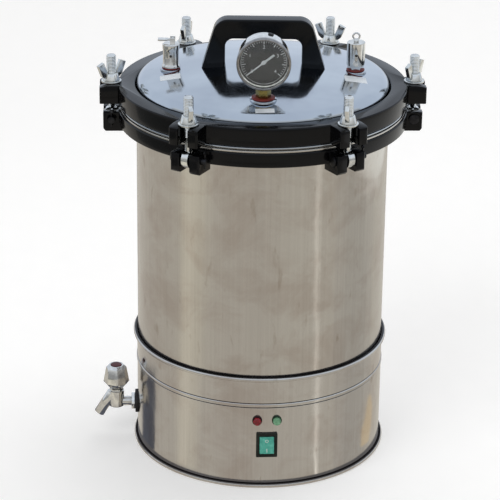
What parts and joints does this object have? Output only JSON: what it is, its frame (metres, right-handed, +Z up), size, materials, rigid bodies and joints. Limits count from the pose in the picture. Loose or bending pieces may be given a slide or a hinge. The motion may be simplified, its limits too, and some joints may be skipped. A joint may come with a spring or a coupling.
{
  "type": "electric steam steriliser",
  "caption": "Upright electric pressure steam steriliser with swing-bolt clamped lid, arch handle, pressure gauge, release and safety valves, basket, drain tap and lit rocker switch.",
  "frame": {"origin": "on the table, under the chamber's axis", "axes": "+Z up along the chamber's axis; the switch and lamps face -Y; the drain tap is on the -X side"},
  "size_m": [0.402, 0.3602, 0.5563],
  "materials": {
    "shell_steel": "drawn stainless sheet, bright rolled, with upright streaks",
    "chamber_steel": "drawn stainless sheet, bright rolled, with upright streaks",
    "lid_steel": "mirror-polished stainless sheet",
    "black_enamel": "black enamelled casting, glossy",
    "black_bakelite": "black phenolic moulding, glossy",
    "zinc_plate": "bright zinc plate",
    "valve_chrome": "polished chrome",
    "brass": "turned brass",
    "red_silicone": "dark red silicone rubber",
    "white_silicone": "white silicone rubber",
    "black_rubber": "black rubber",
    "dial_face": "matt black print on sheet",
    "pointer_white": "white paint",
    "gauge_lens": "clear glass",
    "switch_black": "black moulding",
    "rocker_green": "translucent turquoise moulding",
    "lens_red": "translucent red moulding",
    "lens_green": "translucent green moulding",
    "cap_red": "dark red moulding",
    "heater_steel": "heat-tinted stainless tube",
    "inner_steel": "bright stainless sheet",
    "tube_steel": "bright stainless tube",
    "ceramic": "pale ceramic"
  },
  "bodies": {
    "base": {"base_shell": "shell_steel", "base_plate": "shell_steel", "base_plate_screws": "zinc_plate", "chamber": "chamber_steel", "body_ring": "black_enamel", "hinge_pins": "black_enamel", "heating_element": "heater_steel", "thermal_cutout": "ceramic", "terminal_block": "ceramic", "switch_bezel": "switch_black", "red_lamp": "lens_red", "green_lamp": "lens_green", "mains_inlet": "switch_black", "tap_washer": "black_rubber", "tap_nut": "valve_chrome", "tap_body": "valve_chrome", "drain_pipe": "tube_steel", "support_rack": "inner_steel"},
    "lid": {"lid": "lid_steel", "lid_ring": "black_enamel", "lid_gasket": "white_silicone", "handle": "black_bakelite", "handle_screws": "zinc_plate", "gauge_case": "valve_chrome", "gauge_bezel": "valve_chrome", "gauge_dial": "dial_face", "gauge_glass": "gauge_lens", "gauge_stem": "brass", "lid_seals": "red_silicone", "lid_nuts": "zinc_plate", "release_valve_body": "valve_chrome", "safety_valve_body": "valve_chrome", "relief_tube": "tube_steel"},
    "basket": {"basket": "inner_steel"},
    "bail": {"basket_bail": "tube_steel"},
    "rocker": {"switch_rocker": "rocker_green"},
    "knob": {"tap_knob": "valve_chrome", "tap_spindle": "valve_chrome", "tap_cap": "cap_red"},
    "lever": {"release_lever": "valve_chrome"},
    "safety_stem": {"safety_stem": "valve_chrome"},
    "pointer": {"gauge_pointer": "pointer_white"},
    "bolt_1": {"swing_bolt_1": "zinc_plate"},
    "washer_1": {"clamp_washer_1": "zinc_plate"},
    "nut_1": {"wing_nut_1": "zinc_plate"},
    "bolt_2": {"swing_bolt_2": "zinc_plate"},
    "washer_2": {"clamp_washer_2": "zinc_plate"},
    "nut_2": {"wing_nut_2": "zinc_plate"},
    "bolt_3": {"swing_bolt_3": "zinc_plate"},
    "washer_3": {"clamp_washer_3": "zinc_plate"},
    "nut_3": {"wing_nut_3": "zinc_plate"},
    "bolt_4": {"swing_bolt_4": "zinc_plate"},
    "washer_4": {"clamp_washer_4": "zinc_plate"},
    "nut_4": {"wing_nut_4": "zinc_plate"},
    "bolt_5": {"swing_bolt_5": "zinc_plate"},
    "washer_5": {"clamp_washer_5": "zinc_plate"},
    "nut_5": {"wing_nut_5": "zinc_plate"},
    "bolt_6": {"swing_bolt_6": "zinc_plate"},
    "washer_6": {"clamp_washer_6": "zinc_plate"},
    "nut_6": {"wing_nut_6": "zinc_plate"}
  },
  "joints": [
    {"name": "lid_lift", "type": "slide", "parent": "base", "child": "lid", "axis": [0, 0, 1], "range_m": [0, 0.58]},
    {"name": "basket_lift", "type": "slide", "parent": "base", "child": "basket", "axis": [0, 0, 1], "range_m": [0, 0.348]},
    {"name": "bail_swing", "type": "hinge", "parent": "basket", "child": "bail", "pos_m": [0, 0, 0.4303], "axis": [0, -1, 0], "range_deg": [0, 90]},
    {"name": "switch_rock", "type": "hinge", "parent": "base", "child": "rocker", "pos_m": [0, -0.1504, 0.057], "axis": [1, 0, 0], "range_deg": [0, 18]},
    {"name": "tap_turn", "type": "hinge", "parent": "base", "child": "knob", "pos_m": [-0.1792, 0, 0.0794], "axis": [0, 0, 1], "range_deg": [0, 360]},
    {"name": "release_flip", "type": "hinge", "parent": "lid", "child": "lever", "pos_m": [-0.10777, 0.00697, 0.51596], "axis": [0.065, 0.9979, 0], "range_deg": [0, 90]},
    {"name": "safety_pull", "type": "slide", "parent": "lid", "child": "safety_stem", "axis": [0, 0, 1], "range_m": [0, 0.003], "stiffness_N_per_m": 2000},
    {"name": "gauge_sweep", "type": "hinge", "parent": "lid", "child": "pointer", "pos_m": [-0.00778, -0.12025, 0.525], "axis": [0.065, 0.9979, 0], "range_deg": [0, 260], "stiffness_Nm_per_rad": 0.001},
    {"name": "swing_1", "type": "hinge", "parent": "base", "child": "bolt_1", "pos_m": [0.18094, -0.00474, 0.424], "axis": [0.0262, 0.9997, 0], "range_deg": [0, 180]},
    {"name": "washer_swing_1", "type": "hinge", "parent": "lid", "child": "washer_1", "pos_m": [0.18094, -0.00474, 0.424], "axis": [0.0262, 0.9997, 0], "range_deg": [0, 180]},
    {"name": "nut_spin_1", "type": "hinge", "parent": "washer_1", "child": "nut_1", "pos_m": [0.18094, -0.00474, 0.4671], "axis": [0, 0, 1], "continuous": true},
    {"name": "swing_2", "type": "hinge", "parent": "base", "child": "bolt_2", "pos_m": [0.09457, 0.15433, 0.424], "axis": [-0.8526, 0.5225, 0], "range_deg": [0, 180]},
    {"name": "washer_swing_2", "type": "hinge", "parent": "lid", "child": "washer_2", "pos_m": [0.09457, 0.15433, 0.424], "axis": [-0.8526, 0.5225, 0], "range_deg": [0, 180]},
    {"name": "nut_spin_2", "type": "hinge", "parent": "washer_2", "child": "nut_2", "pos_m": [0.09457, 0.15433, 0.4671], "axis": [0, 0, 1], "continuous": true},
    {"name": "swing_3", "type": "hinge", "parent": "base", "child": "bolt_3", "pos_m": [-0.08637, 0.15907, 0.424], "axis": [-0.8788, -0.4772, 0], "range_deg": [0, 180]},
    {"name": "washer_swing_3", "type": "hinge", "parent": "lid", "child": "washer_3", "pos_m": [-0.08637, 0.15907, 0.424], "axis": [-0.8788, -0.4772, 0], "range_deg": [0, 180]},
    {"name": "nut_spin_3", "type": "hinge", "parent": "washer_3", "child": "nut_3", "pos_m": [-0.08637, 0.15907, 0.4671], "axis": [0, 0, 1], "continuous": true},
    {"name": "swing_4", "type": "hinge", "parent": "base", "child": "bolt_4", "pos_m": [-0.18094, 0.00474, 0.424], "axis": [-0.0262, -0.9997, 0], "range_deg": [0, 180]},
    {"name": "washer_swing_4", "type": "hinge", "parent": "lid", "child": "washer_4", "pos_m": [-0.18094, 0.00474, 0.424], "axis": [-0.0262, -0.9997, 0], "range_deg": [0, 180]},
    {"name": "nut_spin_4", "type": "hinge", "parent": "washer_4", "child": "nut_4", "pos_m": [-0.18094, 0.00474, 0.4671], "axis": [0, 0, 1], "continuous": true},
    {"name": "swing_5", "type": "hinge", "parent": "base", "child": "bolt_5", "pos_m": [-0.09457, -0.15433, 0.424], "axis": [0.8526, -0.5225, 0], "range_deg": [0, 180]},
    {"name": "washer_swing_5", "type": "hinge", "parent": "lid", "child": "washer_5", "pos_m": [-0.09457, -0.15433, 0.424], "axis": [0.8526, -0.5225, 0], "range_deg": [0, 180]},
    {"name": "nut_spin_5", "type": "hinge", "parent": "washer_5", "child": "nut_5", "pos_m": [-0.09457, -0.15433, 0.4671], "axis": [0, 0, 1], "continuous": true},
    {"name": "swing_6", "type": "hinge", "parent": "base", "child": "bolt_6", "pos_m": [0.08637, -0.15907, 0.424], "axis": [0.8788, 0.4772, 0], "range_deg": [0, 180]},
    {"name": "washer_swing_6", "type": "hinge", "parent": "lid", "child": "washer_6", "pos_m": [0.08637, -0.15907, 0.424], "axis": [0.8788, 0.4772, 0], "range_deg": [0, 180]},
    {"name": "nut_spin_6", "type": "hinge", "parent": "washer_6", "child": "nut_6", "pos_m": [0.08637, -0.15907, 0.4671], "axis": [0, 0, 1], "continuous": true}
  ],
  "couplings": [
    {"joint": "basket_lift", "follows": "lid_lift", "ratio": 0.6},
    {"joint": "bail_swing", "follows": "lid_lift", "rad_per_m": 2.7},
    {"joint": "washer_swing_1", "follows": "swing_1", "ratio": 1},
    {"joint": "washer_swing_2", "follows": "swing_2", "ratio": 1},
    {"joint": "washer_swing_3", "follows": "swing_3", "ratio": 1},
    {"joint": "washer_swing_4", "follows": "swing_4", "ratio": 1},
    {"joint": "washer_swing_5", "follows": "swing_5", "ratio": 1},
    {"joint": "washer_swing_6", "follows": "swing_6", "ratio": 1}
  ]
}
